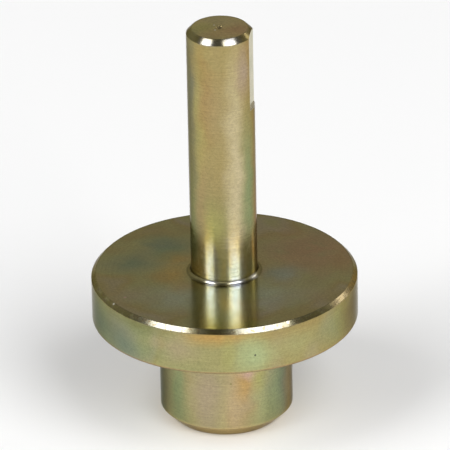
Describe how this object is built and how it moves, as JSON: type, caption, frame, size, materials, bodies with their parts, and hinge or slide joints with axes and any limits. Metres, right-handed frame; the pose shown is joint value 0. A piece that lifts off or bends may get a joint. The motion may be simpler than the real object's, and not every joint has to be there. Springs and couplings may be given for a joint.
{
  "type": "knockout punch",
  "caption": "One-piece turned press punch: a round stem with a set-screw flat, a thrust flange and a chamfered boss that pushes a bush or bearing out of its bore.",
  "frame": {"origin": "centre of the boss's foot, where the punch stands upright", "axes": "+Z along the turning axis, from the boss to the stem's end; +X is the outward normal of the set-screw flat"},
  "size_m": [0.0508, 0.0508, 0.0809],
  "materials": {
    "yellow_zinc": "turned steel, zinc plated with an iridescent yellow chromate, satin to bright"
  },
  "bodies": {
    "root": {"punch_body": "yellow_zinc"}
  },
  "joints": []
}
